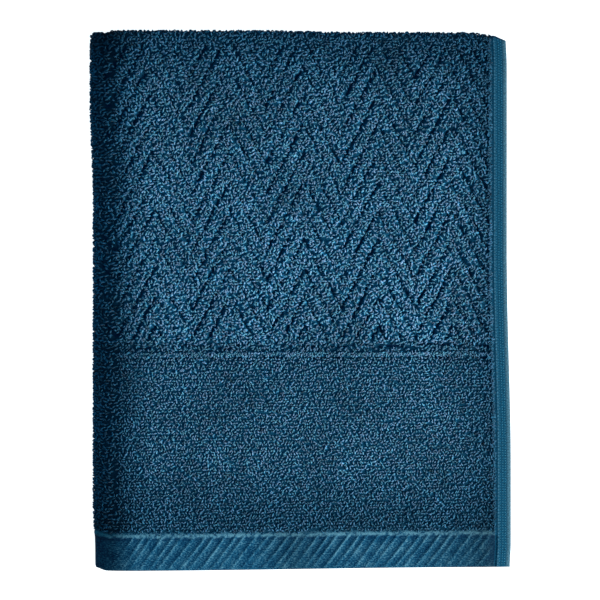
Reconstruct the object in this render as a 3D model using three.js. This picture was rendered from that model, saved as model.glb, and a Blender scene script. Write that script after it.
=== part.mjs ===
// Bath towel of looped terry cloth. It is folded back and forth across its length into three panels, then
// once down its middle, so that six layers lie flat on each other.
// Millimetres, +Z up. The first panel's end hem points to -Y, the last fold to -X, the side hems to +X.
// A place on the cloth is given by two lengths: across, from the side hem that lies on top, and along,
// from the end hem that lies on top.

import * as THREE from "three";

// Sizes of the cloth
const TOWEL_WIDTH = 762;
const TOWEL_LENGTH = 1422;
const PILE_THICKNESS = 4.6;

// Sizes of the folded towel
const LAYER_GAP = 0.5;
const FOLDED_WIDTH = 381;
const FOLDED_LENGTH = 494;
const LOWER_FOLD_SETBACK = 8; // the fold of the second and third panels lies this far behind the top hem
const BEND_REACH = 24; // how far the last fold's rounded edge reaches out from the flat layers

// End hem: distance from the cut end, thickness there, and share of the puckers' height. The last row is
// the full pile.
const END_HEM = [
  { inset: 0, thickness: 2.0, pucker: 0 },
  { inset: 2, thickness: 3.2, pucker: 0.1 },
  { inset: 8.3, thickness: 3.4, pucker: 1 },
  { inset: 14.6, thickness: 3.4, pucker: 1 },
  { inset: 20.9, thickness: 3.4, pucker: 1 },
  { inset: 27.2, thickness: 3.5, pucker: 0.7 },
  { inset: 30.5, thickness: 4.6, pucker: 0 },
  { inset: 33.5, thickness: 3.4, pucker: 0 },
  { inset: 37, thickness: PILE_THICKNESS, pucker: 0 },
];

// Side hem: distance from the long edge, and thickness there
const SIDE_HEM = [
  { inset: 0, thickness: 1.7 },
  { inset: 1.5, thickness: 2.8 },
  { inset: 8, thickness: 2.5 },
  { inset: 11.5, thickness: 3.0 },
  { inset: 13.5, thickness: 2.0 },
  { inset: 16, thickness: PILE_THICKNESS },
];

// Slanting puckers of the end hem, left low and right high. Each crest moves on by half a pitch from one
// row of the hem's table to the next.
const PUCKERS = 36;
const PUCKER_ROW = 6.3;
const PUCKER_HEIGHT = 0.75;

// Border between the plain pile band and the chevron field: distance from the end, and lift of the face
const BORDER = [
  { along: 193, lift: 0 },
  { along: 195.6, lift: -1.2 },
  { along: 197.2, lift: 0.8 },
  { along: 200.4, lift: 0.8 },
  { along: 202.6, lift: -0.7 },
  { along: 208, lift: -0.9 },
  { along: 210, lift: 0 },
];

// Chevron field: zigzag bands with narrow grooves between them
const FIELD_START = 210;
const FIELD_END = 483;
const CHEVRON_PITCH = 67.8;
const CHEVRON_APEX_X = 4.1;
const CHEVRON_DROP = 63.4; // fall of a band from its apex to the next valley
const BAND_PITCH = 26.4;
const GROOVE_ALONG = 249.4; // a groove crosses the line of the apexes here
const GROOVE_DEPTH = 1.5;
const GROOVE_DEPTH_GAIN = 0.5; // added towards the side hem and taken off towards the last fold
const BAND_PROFILE = [
  { offset: 0, share: -1 },
  { offset: 3.4, share: -0.1 },
  { offset: 13.2, share: 0.2 },
  { offset: 23, share: -0.1 },
];
const START_FADE = 2; // the grooves run out over this length at the start of the field
const END_FADE = 8; // and over this length at its end
const FOLD_FADE = 10; // and over this width at the last fold

// The reliefs start just inside the side hem's inner edge and are full this much farther in
const SIDE_FADE_START = -1;
const SIDE_FADE = 4;

// Sag and unevenness of the stack
const TOP_SAG = 5.5;
const TOP_SAG_LENGTH = 35;
const HEM_SAG = 1.8;
const HEM_SAG_LENGTH = 13;
const EDGE_SQUASH = 0.11;
const EDGE_SQUASH_LENGTH = 18;
const SWELL = { share: 0.02, lengthX: 52, phaseX: 0.6, lengthY: 71, phaseY: 1.1 };

// How far the side hems of the hidden layers lie back from the top one. The flat part of a layer eases
// from full width at SETBACK_FROM_X to its set-back edge at SETBACK_TO_X.
const SECOND_SETBACK = 1.6;
const THIRD_SETBACK = 1.2;
const LOWER_HALF_SETBACK = 1.0;
const SETBACK_EASE = 20;
const SETBACK_FROM_X = 60;
const SETBACK_TO_X = 172;

// Uneven outline, seen from above: each edge moves by these amounts while the place along it goes from
// one limit to the other
const OUTLINE = {
  right: [
    { amount: 3.6, from: 45, to: -150 },
    { amount: -0.8, from: -225, to: -245 },
  ],
  left: [
    { amount: 2.8, from: 190, to: 90 },
    { amount: 1.6, from: -180, to: -235 },
  ],
  upper: [
    { amount: -1.8, from: -46, to: 60 },
    { amount: -2.8, from: 150, to: 181 },
    { amount: -4.0, from: 178, to: 190.5 },
    { amount: -1.6, from: -168, to: -176 },
  ],
  lower: [
    { amount: 3.7, from: -190, to: 190 },
    { amount: 3.4, from: -178, to: -192 },
  ],
};

// Places and lines where the faceted surface has points
const COARSE_PLACES = [80, 150, 220, 290];
const FEW_SIDE_INSETS = [0, 1.5, 11.5, 16];
const PLAIN_ALONGS = [85, 135];
const LINES_Y = [-232, -215, -207, -120, 0, 120, 195, 212, 225];
const NEAR_HEM_INSETS = [0, 2, 10];
const FAR_HEM_INSETS = [37, 33.5, 30.5, 20.9, 2, 0];
const OPEN_BEND_STEPS = 10;
const INNER_BEND_STEPS = 6;
const OUTER_FOLD_STEPS = 7;
const INNER_FOLD_STEPS = 2;
const LOWER_FOLD_STEPS = 6;
const PLACE_MARGIN = 2; // inner places keep this far from the side hem and from the last fold
const SAME_POINT = 1e-3; // points closer than this are one vertex
const TOUCH = 1e-6; // lengths closer than this are the same

// Sizes that follow from those above
const LAYER_PITCH = PILE_THICKNESS + LAYER_GAP;
const LAYERS = 6;
const STACK_HEIGHT = LAYERS * LAYER_PITCH - LAYER_GAP;
const HALF_WIDTH = FOLDED_WIDTH / 2;
const HALF_LENGTH = FOLDED_LENGTH / 2;
const FLAT_WIDTH = FOLDED_WIDTH - BEND_REACH;
const BEND_LENGTH = TOWEL_WIDTH - 2 * FLAT_WIDTH;
const BEND_X = -HALF_WIDTH + BEND_REACH;
const FOLD_RADIUS = LAYER_PITCH / 2;
const FOLD_LENGTH = Math.PI * FOLD_RADIUS;
const FOLD_OUTER = FOLD_RADIUS + PILE_THICKNESS / 2;
const TOP_FOLD_Y = HALF_LENGTH - FOLD_OUTER;
const LOWER_FOLD_Y = -HALF_LENGTH + LOWER_FOLD_SETBACK + FOLD_OUTER;
const FIRST_PANEL = TOP_FOLD_Y + HALF_LENGTH;
const SECOND_PANEL = TOP_FOLD_Y - LOWER_FOLD_Y;
const SECOND_START = FIRST_PANEL + FOLD_LENGTH;
const LOWER_FOLD_START = SECOND_START + SECOND_PANEL;
const THIRD_START = LOWER_FOLD_START + FOLD_LENGTH;
const SIDE_HEM_WIDTH = SIDE_HEM.at(-1).inset;
const END_HEM_WIDTH = END_HEM.at(-1).inset;
const HALF_PUCKER = (FLAT_WIDTH - SIDE_HEM_WIDTH) / PUCKERS / 2;
const ALL_SIDE_INSETS = SIDE_HEM.map((row) => row.inset);

const mix = (a, b, share) => a + (b - a) * share;

// Smooth step from 0 to 1 while the value goes from one limit to the other, in either direction
function smooth(from, to, value) {
  const share = THREE.MathUtils.clamp((value - from) / (to - from), 0, 1);
  return share * share * (3 - 2 * share);
}

// Value of a table's column at a distance, by straight lines between its rows
function readTable(table, key, column, at) {
  const next = table.findIndex((row) => row[key] >= at);
  if (next === 0) return table[0][column];
  if (next < 0) return table.at(-1)[column];
  const low = table[next - 1];
  const high = table[next];
  return mix(low[column], high[column], (at - low[key]) / (high[key] - low[key]));
}

// Middle of the cloth in the plane of the first folds: y, the depth below the outer face, and the
// direction that the pattern face looks in there
function sectionAt(along) {
  const outer = PILE_THICKNESS / 2;
  if (along <= FIRST_PANEL) return { y: along - HALF_LENGTH, depth: outer, faceY: 0, faceDepth: -1 };
  if (along < SECOND_START) {
    const turn = (along - FIRST_PANEL) / FOLD_RADIUS;
    return {
      y: TOP_FOLD_Y + FOLD_RADIUS * Math.sin(turn),
      depth: outer + FOLD_RADIUS * (1 - Math.cos(turn)),
      faceY: Math.sin(turn),
      faceDepth: -Math.cos(turn),
    };
  }
  if (along <= LOWER_FOLD_START) {
    return { y: TOP_FOLD_Y - (along - SECOND_START), depth: outer + LAYER_PITCH, faceY: 0, faceDepth: 1 };
  }
  if (along < THIRD_START) {
    const turn = (along - LOWER_FOLD_START) / FOLD_RADIUS;
    return {
      y: LOWER_FOLD_Y - FOLD_RADIUS * Math.sin(turn),
      depth: outer + LAYER_PITCH + FOLD_RADIUS * (1 - Math.cos(turn)),
      faceY: Math.sin(turn),
      faceDepth: Math.cos(turn),
    };
  }
  return { y: LOWER_FOLD_Y + (along - THIRD_START), depth: outer + 2 * LAYER_PITCH, faceY: 0, faceDepth: -1 };
}

// Turn of the last fold at a place across the cloth: 0 in the upper half, pi in the lower half
function bendTurn(across) {
  return Math.PI * THREE.MathUtils.clamp((across - FLAT_WIDTH) / BEND_LENGTH, 0, 1);
}

// Distance of a place from the nearer side hem's edge, and from the nearer cut end
const sideInset = (across) => Math.min(across, TOWEL_WIDTH - across);
const endInset = (along) => Math.min(along, TOWEL_LENGTH - along);

// Thickness of the cloth, thinner at its hems
function thicknessAt(across, along) {
  const side = readTable(SIDE_HEM, "inset", "thickness", sideInset(across));
  const end = readTable(END_HEM, "inset", "thickness", endInset(along));
  return Math.min(side, end);
}

// Sum of an edge's movements at a place along it
function edgeShift(edge, at) {
  return OUTLINE[edge].reduce((sum, { amount, from, to }) => sum + amount * smooth(from, to, at), 0);
}

// Movement of a point, shared out between the edges it lies between
function outlineShift(x, y) {
  const rightShare = (x + HALF_WIDTH) / FOLDED_WIDTH;
  const upperShare = (y + HALF_LENGTH) / FOLDED_LENGTH;
  return {
    x: mix(edgeShift("left", y), edgeShift("right", y), rightShare),
    y: mix(edgeShift("lower", x), edgeShift("upper", x), upperShare),
  };
}

// How far a layer's side hem lies back. It grows over the folds.
function layerSetback(along, lowerShare) {
  const second = smooth(FIRST_PANEL - SETBACK_EASE, SECOND_START + SETBACK_EASE, along);
  const third = smooth(LOWER_FOLD_START - SETBACK_EASE, THIRD_START + SETBACK_EASE, along);
  return SECOND_SETBACK * second + THIRD_SETBACK * third + LOWER_HALF_SETBACK * lowerShare;
}

// Point on the pattern face (side 1) or on the back face (side -1), lifted off that face by lift
function clothPoint(across, along, side, lift = 0) {
  const section = sectionAt(along);
  const turn = bendTurn(across);
  const lowerShare = (1 - Math.cos(turn)) / 2;
  const upward = 1 - 2 * lowerShare;
  const recess = PILE_THICKNESS - thicknessAt(across, along);
  const faceUp = (1 - side * upward * section.faceDepth) / 2;
  const offset = PILE_THICKNESS / 2 - recess * faceUp + lift;
  const depth = section.depth + side * section.faceDepth * offset;
  const flatY = section.y + side * section.faceY * offset;

  const flatX = HALF_WIDTH - Math.min(sideInset(across), FLAT_WIDTH);
  const setback = layerSetback(along, lowerShare) * smooth(SETBACK_FROM_X, SETBACK_TO_X, flatX);
  const bendX = BEND_X - (BEND_REACH - depth) * Math.sin(turn);
  const bendZ = STACK_HEIGHT / 2 + (STACK_HEIGHT / 2 - depth) * Math.cos(turn);
  const x = turn > 0 && turn < Math.PI ? bendX : flatX - setback;

  const topSag = TOP_SAG * smooth(HALF_LENGTH - TOP_SAG_LENGTH, HALF_LENGTH, flatY) * (1 - lowerShare);
  const hemShare = smooth(HEM_SAG_LENGTH - HALF_LENGTH, -HALF_LENGTH, flatY);
  const hemSag = along < END_HEM_WIDTH ? HEM_SAG * hemShare * (1 - lowerShare) : 0;
  const squash = 1 - EDGE_SQUASH * smooth(HALF_WIDTH - EDGE_SQUASH_LENGTH, HALF_WIDTH, x);
  const swellX = Math.sin(x / SWELL.lengthX + SWELL.phaseX);
  const swellY = Math.sin(flatY / SWELL.lengthY + SWELL.phaseY);
  const z = (bendZ - topSag - hemSag) * squash * (1 + SWELL.share * swellX * swellY);

  const shift = outlineShift(x, flatY);
  return new THREE.Vector3(x + shift.x, flatY + shift.y, z);
}

// Zigzag of the bands at a place across the upper half: 0 at an apex, the full drop at a valley
function chevronDrop(across) {
  const fromApex = Math.abs(HALF_WIDTH - across - CHEVRON_APEX_X);
  const withinPitch = fromApex % CHEVRON_PITCH;
  return (CHEVRON_DROP * Math.min(withinPitch, CHEVRON_PITCH - withinPitch)) / (CHEVRON_PITCH / 2);
}

// Share of a relief that is left near the side hem, at the last fold and beyond it
function reliefShare(across) {
  const start = SIDE_HEM_WIDTH + SIDE_FADE_START;
  return smooth(start, start + SIDE_FADE, across) * smooth(FLAT_WIDTH, FLAT_WIDTH - FOLD_FADE, across);
}

// Places across the cloth where a row has points. The upper half's inner places are passed in.
function acrossList(upperPlaces, bendSteps, sideInsets) {
  const inner = upperPlaces.filter((place) => {
    return place > SIDE_HEM_WIDTH + PLACE_MARGIN && place < FLAT_WIDTH - PLACE_MARGIN;
  });
  const bend = Array.from({ length: bendSteps + 1 }, (_, i) => FLAT_WIDTH + (BEND_LENGTH * i) / bendSteps);
  const lower = [...sideInsets, ...COARSE_PLACES].toReversed().map((inset) => TOWEL_WIDTH - inset);
  return [...sideInsets, ...inner, ...bend, ...lower];
}

// The apexes and valleys of the chevrons, where the bands turn
function chevronPlaces() {
  const places = [];
  for (let x = CHEVRON_APEX_X + 3 * CHEVRON_PITCH; x > -HALF_WIDTH; x -= CHEVRON_PITCH / 2) {
    places.push(HALF_WIDTH - x);
  }
  return places;
}

// Vertices with shared positions, and the triangles between them
const points = [];
const pointIndex = new Map();
const triangles = [];

function addPoint(position) {
  const key = position.toArray().map((value) => Math.round(value / SAME_POINT)).join();
  if (!pointIndex.has(key)) {
    pointIndex.set(key, points.length);
    points.push(position);
  }
  return pointIndex.get(key);
}

function addTriangle(a, b, c) {
  if (a !== b && b !== c && c !== a) triangles.push(a, b, c);
}

// Joins two rows of vertices by triangles, walking along both. isLowerNext says which row goes first.
function joinRows(lower, upper, isLowerNext, side) {
  let i = 0;
  let j = 0;
  while (i < lower.length - 1 || j < upper.length - 1) {
    const onlyLower = j === upper.length - 1;
    const onlyUpper = i === lower.length - 1;
    const lowerFirst = onlyLower || (!onlyUpper && isLowerNext(lower, i, upper, j));
    const corner = lowerFirst ? lower[i + 1] : upper[j + 1];
    const corners = [lower[i].index, corner.index, upper[j].index];
    if (lowerFirst) i += 1;
    else j += 1;
    if (side > 0) corners.reverse();
    addTriangle(...corners);
  }
}

// The row whose next vertex has the smaller key goes first
const byKey = (keyOf) => (lower, i, upper, j) => keyOf(lower[i + 1]) <= keyOf(upper[j + 1]) + TOUCH;

// Over the chevron field a vertex is joined to the vertex before it in the other row, or on the other
// flank of the zigzag to the one after it, so that the bands stay straight up to the field's ends
function byFlank(atFieldEnd) {
  const before = byKey(({ across }) => across);
  return (lower, i, upper, j) => {
    const place = Math.min(lower[i].across, upper[j].across) + TOUCH;
    const rises = chevronDrop(place + TOUCH) < chevronDrop(place);
    return rises === atFieldEnd ? lower[i].across <= upper[j].across + TOUCH : before(lower, i, upper, j);
  };
}

// A row of vertices on one face. alongOf and liftOf give each vertex's place and lift.
function makeRow(places, side, alongOf, liftOf = () => 0) {
  return places.map((across) => {
    const along = alongOf(across);
    return { across, along, index: addPoint(clothPoint(across, along, side, liftOf(across, along))) };
  });
}

// Rows over the end hem that lies on top, with points on the crests and in the troughs of its puckers.
// Crests and troughs change places from one row to the next.
function hemRows() {
  const crossPlaces = Array.from({ length: 2 * PUCKERS + 1 }, (_, i) => SIDE_HEM_WIDTH + i * HALF_PUCKER);
  return END_HEM.map(({ inset, pucker }, row) => {
    const places = acrossList(pucker > 0 ? crossPlaces : COARSE_PLACES, OPEN_BEND_STEPS, ALL_SIDE_INSETS);
    const liftOf = (across) => {
      const step = Math.round((across - SIDE_HEM_WIDTH) / HALF_PUCKER);
      const crest = (step + row) % 2 === 0 ? 1 : -1;
      return PUCKER_HEIGHT * pucker * crest * reliefShare(across);
    };
    return makeRow(places, 1, () => inset, liftOf);
  });
}

// Rows over the plain band and the border
function bandRows() {
  const plain = PLAIN_ALONGS.map((along) => ({ along, lift: 0 }));
  return [...plain, ...BORDER.slice(0, -1)].map(({ along, lift }) => {
    const places = acrossList(COARSE_PLACES, OPEN_BEND_STEPS, ALL_SIDE_INSETS);
    return makeRow(places, 1, () => along, (across) => lift * reliefShare(across));
  });
}

// The lengths at which the field's rows cross the line of the apexes, row by row
function fieldRows() {
  const rows = [];
  const firstBand = Math.floor((FIELD_START - GROOVE_ALONG) / BAND_PITCH);
  const lastBand = Math.ceil((FIELD_END + CHEVRON_DROP - GROOVE_ALONG) / BAND_PITCH);
  for (let band = firstBand; band <= lastBand; band += 1) {
    for (const { offset, share } of BAND_PROFILE) {
      rows.push({ apexAlong: GROOVE_ALONG + band * BAND_PITCH + offset, share });
    }
  }
  return rows.filter((row) => row.apexAlong > FIELD_START && row.apexAlong - CHEVRON_DROP < FIELD_END);
}

// Places where the zigzag of a row meets an end of the field
function crossings(apexAlong, fieldLimit) {
  const reach = ((apexAlong - fieldLimit) * CHEVRON_PITCH) / 2 / CHEVRON_DROP;
  if (reach <= 0 || reach >= CHEVRON_PITCH / 2) return [];
  const apexes = chevronPlaces().filter((_, i) => i % 2 === 0);
  return apexes.flatMap((apex) => [apex - reach, apex + reach]);
}

// Rows over the chevron field. Each row follows the zigzag, and runs along the field's ends where the
// zigzag passes them. There it takes in the crossings of all rows, so that the rows share their points.
function chevronRows() {
  const rows = fieldRows();
  const starts = rows.flatMap((row) => crossings(row.apexAlong, FIELD_START));
  const ends = rows.flatMap((row) => crossings(row.apexAlong, FIELD_END));
  const rowWith = (extraPlaces, alongOf, liftOf) => {
    const upperPlaces = [...chevronPlaces(), FLAT_WIDTH - FOLD_FADE, ...extraPlaces].sort((a, b) => a - b);
    return makeRow(acrossList(upperPlaces, OPEN_BEND_STEPS, ALL_SIDE_INSETS), 1, alongOf, liftOf);
  };
  const zigzagRows = rows.map(({ apexAlong, share }) => {
    const zigzag = (across) => apexAlong - chevronDrop(Math.min(across, FLAT_WIDTH));
    const alongOf = (across) => {
      const along = zigzag(across);
      if (along < FIELD_START + TOUCH) return FIELD_START;
      return along > FIELD_END - TOUCH ? FIELD_END : along;
    };
    const liftOf = (across, along) => {
      const depth = GROOVE_DEPTH + GROOVE_DEPTH_GAIN * (1 - (2 * across) / FLAT_WIDTH);
      const fade =
        smooth(FIELD_START, FIELD_START + START_FADE, along) * smooth(FIELD_END, FIELD_END - END_FADE, along);
      return share * depth * fade * reliefShare(across);
    };
    const below = starts.filter((across) => zigzag(across) < FIELD_START + TOUCH);
    const beyond = ends.filter((across) => zigzag(across) > FIELD_END - TOUCH);
    const fullFrom = crossings(apexAlong, FIELD_START + START_FADE);
    const fullTo = crossings(apexAlong, FIELD_END - END_FADE);
    return rowWith([...below, ...fullFrom, ...fullTo, ...beyond], alongOf, liftOf);
  });
  return [rowWith(starts, () => FIELD_START), ...zigzagRows, rowWith(ends, () => FIELD_END)];
}

// Lengths at which a fold that starts at a length has its rows
function foldAlongs(start, steps) {
  return Array.from({ length: steps + 1 }, (_, i) => start + (FOLD_LENGTH * i) / steps);
}

// Lengths of the plain rows from the top fold to the far end. Layers that face each other have rows on
// the same lines, so that their flat triangles keep the gap between them.
function hiddenAlongs(topFoldSteps, lowerFoldSteps) {
  const farHem = FAR_HEM_INSETS.map((inset) => TOWEL_LENGTH - inset);
  const second = LINES_Y.toReversed().map((y) => SECOND_START + TOP_FOLD_Y - y);
  const third = LINES_Y.map((y) => THIRD_START + y - LOWER_FOLD_Y).filter((along) => along < farHem[0]);
  return [
    ...foldAlongs(FIRST_PANEL, topFoldSteps),
    ...second,
    ...foldAlongs(LOWER_FOLD_START, lowerFoldSteps),
    ...third,
    ...farHem,
  ];
}

function patternFaceRows() {
  const places = acrossList(COARSE_PLACES, OPEN_BEND_STEPS, ALL_SIDE_INSETS);
  const inner = acrossList(COARSE_PLACES, INNER_BEND_STEPS, FEW_SIDE_INSETS);
  const hidden = hiddenAlongs(OUTER_FOLD_STEPS, INNER_FOLD_STEPS).map((along) => {
    return makeRow(along < SECOND_START + TOUCH ? places : inner, 1, () => along);
  });
  return [...hemRows(), ...bandRows(), ...chevronRows(), ...hidden];
}

function backFaceRows() {
  const places = acrossList(COARSE_PLACES, INNER_BEND_STEPS, FEW_SIDE_INSETS);
  const firstPanel = [...NEAR_HEM_INSETS, ...LINES_Y.map((y) => y + HALF_LENGTH)];
  const hidden = hiddenAlongs(INNER_FOLD_STEPS, LOWER_FOLD_STEPS);
  return [...firstPanel, ...hidden].map((along) => makeRow(places, -1, () => along));
}

const hasPuckers = (row) => END_HEM.some(({ inset, pucker }) => pucker > 0 && inset === row[0].along);

// The order that keeps two neighbouring rows in step: over the puckers it leans with them
function rowOrder(lower, upper, side) {
  const farthest = Math.max(...upper.map(({ along }) => along));
  const inField = side > 0 && lower[0].along > FIELD_START - TOUCH && farthest < FIELD_END + TOUCH;
  if (inField) return byFlank(farthest > (FIELD_START + FIELD_END) / 2);
  if (side < 0 || !hasPuckers(lower) || !hasPuckers(upper)) return byKey(({ across }) => across);
  return byKey(({ across, along }) => {
    if (across <= SIDE_HEM_WIDTH) return across;
    return across + (across > FLAT_WIDTH ? END_HEM_WIDTH : (along * HALF_PUCKER) / PUCKER_ROW);
  });
}

function buildCloth() {
  const pattern = patternFaceRows();
  const back = backFaceRows();
  for (const [rows, side] of [[pattern, 1], [back, -1]]) {
    for (let i = 0; i < rows.length - 1; i += 1) {
      joinRows(rows[i], rows[i + 1], rowOrder(rows[i], rows[i + 1], side), side);
    }
  }
  const byAcross = byKey(({ across }) => across);
  const byAlong = byKey(({ along }) => along);
  const edge = (rows, end) => rows.map((row) => row.at(end));
  joinRows(pattern[0], back[0], byAcross, -1);
  joinRows(pattern.at(-1), back.at(-1), byAcross, 1);
  joinRows(edge(pattern, 0), edge(back, 0), byAlong, 1);
  joinRows(edge(pattern, -1), edge(back, -1), byAlong, -1);

  const geometry = new THREE.BufferGeometry();
  geometry.setAttribute("position", new THREE.Float32BufferAttribute(points.flatMap((p) => p.toArray()), 3));
  geometry.setIndex(triangles);
  geometry.computeBoundingBox();
  const centre = geometry.boundingBox.getCenter(new THREE.Vector3());
  geometry.translate(-centre.x, -centre.y, -geometry.boundingBox.min.z);
  geometry.computeVertexNormals();
  return geometry;
}

const terry = new THREE.MeshStandardMaterial({ color: 0x23567a, roughness: 0.95, metalness: 0 });
const towel = new THREE.Mesh(buildCloth(), terry);
towel.name = "bath_towel";

const group = new THREE.Group();
group.add(towel);

export default group;
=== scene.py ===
"""A folded bath towel of looped terry, seen from straight above.

Lengths are millimetres until a mesh is made, which is in metres. A place on the cloth is given by two
lengths: across, from the side hem that lies on top, and along, from the end hem that lies on top.
"""

import math

import bpy
import numpy as np
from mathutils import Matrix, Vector


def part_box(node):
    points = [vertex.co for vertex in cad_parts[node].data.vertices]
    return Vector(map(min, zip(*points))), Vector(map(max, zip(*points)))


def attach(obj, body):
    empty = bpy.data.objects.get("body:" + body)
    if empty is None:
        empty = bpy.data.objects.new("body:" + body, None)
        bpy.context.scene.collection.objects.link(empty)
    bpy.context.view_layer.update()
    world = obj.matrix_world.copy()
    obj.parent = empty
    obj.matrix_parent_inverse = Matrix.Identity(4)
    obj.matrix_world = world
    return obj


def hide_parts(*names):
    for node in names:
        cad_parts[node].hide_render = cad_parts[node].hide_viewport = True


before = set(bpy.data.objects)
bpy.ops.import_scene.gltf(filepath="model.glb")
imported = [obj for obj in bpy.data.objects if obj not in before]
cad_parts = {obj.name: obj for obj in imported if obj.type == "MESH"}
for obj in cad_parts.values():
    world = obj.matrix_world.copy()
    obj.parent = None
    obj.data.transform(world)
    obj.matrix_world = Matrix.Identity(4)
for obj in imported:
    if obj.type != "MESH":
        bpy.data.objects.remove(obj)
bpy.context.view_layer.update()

MM = 0.001
NODE = "bath_towel"

# Seeds of the loops, and of each uneven shape
SEED = 20
SEED_OF = {
    "pucker_place": SEED,
    "pucker_swell": SEED + 1,
    "parting_fine": SEED + 4,
    "parting_broad": SEED + 5,
    "groove_wander": SEED + 6,
    "groove_ragged": SEED + 7,
    "line_sway": SEED + 8,
    "clumps": SEED + 9,
}

# Sizes of the cloth and of the folded towel
TOWEL_WIDTH = 762.0
TOWEL_LENGTH = 1422.0
PILE_THICKNESS = 4.6
LAYER_PITCH = 5.1
STACK_HEIGHT = 30.1
HALF_WIDTH = 190.5
HALF_LENGTH = 247.0
BEND_REACH = 24.0
LOWER_FOLD_SETBACK = 8.0

# Hems: distance from the edge, and thickness there
END_HEM = [(0, 2.0), (2, 3.2), (8.3, 3.4), (20.9, 3.4), (28.7, 3.5), (32, 4.5), (35, 3.4), (37, 4.6)]
SIDE_HEM = [(0, 1.7), (1.5, 2.8), (8, 2.5), (11.5, 3.0), (13.5, 2.0), (16, 4.6)]

# Border between the plain band and the chevron field: its lift at places along the towel, the rows of
# loops on its ridge, and its lines, each with its place, half width and sway
BORDER = [(191.5, 0), (193.9, -1.1), (195.4, 0.7), (198.2, 0.7), (200.6, -0.5), (206.5, -0.7), (209, 0)]
BORDER_PAST_FACE = (4.0, -6.0)
RIDGE_ROWS = (195.9, 198.6)
BORDER_LINES = [(193.9, 0.65, 0.3), (204.6, 0.85, 1.8)]
LINE_SWAY_LENGTH = 36.0
LINE_THINNING = 0.2
LINE_SOFTNESS = 0.5
LINE_FADE = (0.25, 0.65)
LINE_END = 20.0

# Chevron field: where it lies, its zigzag, and the grooves between its bands
FIELD_START = 209.0
FIELD_END = 483.0
FIELD_START_EASE = 2.0
FIELD_END_EASE = 8.0
FIELD_PAST_FACE = (24.0, 8.0)
CHEVRON_PITCH = 67.8
CHEVRON_APEX_X = 4.1
CHEVRON_DROP = 63.4
CHEVRON_DRIFT = [(243, 0), (280, 1.5), (311, 1.5), (340, 5), (362, 6.5)]
CHEVRON_DRIFT_SHARE = (0.3, 1.15)
FLANK_EASE = 6.0
BAND_PITCH = 26.4
GROOVE_ALONG = 249.4
GROOVE_DEPTH = 1.5
GROOVE_DEPTH_GAIN = 0.25
RIGHT_FLANK_GAIN = 1.08
GROOVE_WANDER = 1.0
GROOVE_WANDER_LENGTH = 30.0
GROOVE_RAGGED = 0.95
GROOVE_RAGGED_LENGTH = 8.0

# Lift of a band at lengths from the groove below it, as a share of the groove's depth
BAND_PROFILE = [(0, -1.0), (2, -0.5), (5.5, 0.0), (13.2, 0.25), (21, 0.0), (24.4, -0.5), (26.4, -1.0)]

# End hem: slanting puckers in groups of three, each with its place in the group and its height
PUCKER_GROUP = 28.04
PUCKER_CRESTS = [(0.0, 1.0), (0.35, 0.9), (0.62, 0.8)]
PUCKER_WIDTH = 0.048
PUCKER_SLOPE = 1.33
PUCKER_FROM_X = -9.0
PUCKER_HEIGHT = 0.6
PUCKER_WANDER = {"share": 0.035, "length": 60.0, "stretch": 0.25}
PUCKER_SWELL = {"share": 0.35, "length": 34.0, "stretch": 0.3}
PUCKER_FOOT_SHARE = 0.65
PUCKER_FOOT = (6.0, 24.0)
PUCKER_EDGE = 3.0
PUCKER_SEAM_EASE = 2.5
PUCKER_SIDE_EASE = 4.0
PUCKER_PAST_FACE = (6.0, -24.0)
SEAM_ALONG = 32.0
HEM_RELIEF_END = 36.0
CORNER_GAP_DEPTH = 1.2
CORNER_GAP_SIDES = (12.4, 14.6, 16.0, 24.0)
CORNER_GAP_SEAM_EASE = 4.0

# Where the pile starts beside the hems
PILE_SIDE_EASE = 2.5
PILE_PAST_SEAM = (2.0, 5.0)
PATTERN_FROM_SIDE = (15.0, 19.0)

# Sag and unevenness of the stack
TOP_SAG = 5.5
TOP_SAG_LENGTH = 35.0
FOLD_SAG = 5.0
FOLD_SAG_LENGTH = 38.0
HEM_SAG = 1.8
HEM_SAG_LENGTH = 13.0
EDGE_SQUASH = 0.11
EDGE_SQUASH_LENGTH = 18.0
SWELL = {"share": 0.02, "length_x": 52.0, "phase_x": 0.6, "length_y": 71.0, "phase_y": 1.1}
SECOND_SETBACK = 1.6
THIRD_SETBACK = 1.2
LOWER_HALF_SETBACK = 1.0
SETBACK_EASE = 20.0
SETBACK_FROM_X = 60.0
SETBACK_TO_X = 172.0

# Uneven outline: each edge moves by an amount while the place along it goes from one limit to the other
OUTLINE = {
    "right": [(3.6, 45, -150), (-0.8, -225, -245)],
    "left": [(2.8, 190, 90), (1.6, -180, -235)],
    "upper": [(-1.8, -46, 60), (-2.8, 150, 181), (-4.0, 178, 190.5), (-1.6, -168, -176)],
    "lower": [(3.7, -190, 190), (3.4, -178, -192)],
}

# Uneven shapes are sums of waves of several lengths
WAVE_COUNT = 7
WAVE_SPREAD = (0.7, 1.6)
WAVE_SCALE = 3.2

# Pile: the woven ground lies this far below the loops' tips, and deeper where the pile is parted
PILE_DEPTH = 1.5
PILE_HIDDEN_EASE = 30.0
PARTING_DEPTH = 1.6

# Width of a parting, its soft edge, the widths at which it fades out, and how the width changes: on the
# right flanks, from right to left, at the foot of the field, and from place to place
PARTING_HALF_WIDTH = 1.7
PARTING_SOFTNESS = 0.9
PARTING_FADE = (0.3, 0.8)
PARTING_ON_RIGHT_FLANK = 0.65
PARTING_LEFTWARD = (1.05, 0.8)
PARTING_AT_FOOT = 1.35
PARTING_FOOT_LENGTH = 80.0
PARTING_LEVEL = 0.82
PARTING_WAVES = [(0.5, 36.0, "parting_broad"), (0.28, 10.0, "parting_fine")]
SHADE_SOFTNESS = 2.6
CLUMP_LENGTH = 7.0
CLUMP_HEIGHT = 0.15

# Points at which the outline is measured, across and along
OUTLINE_SAMPLES = (382, 712)

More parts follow.
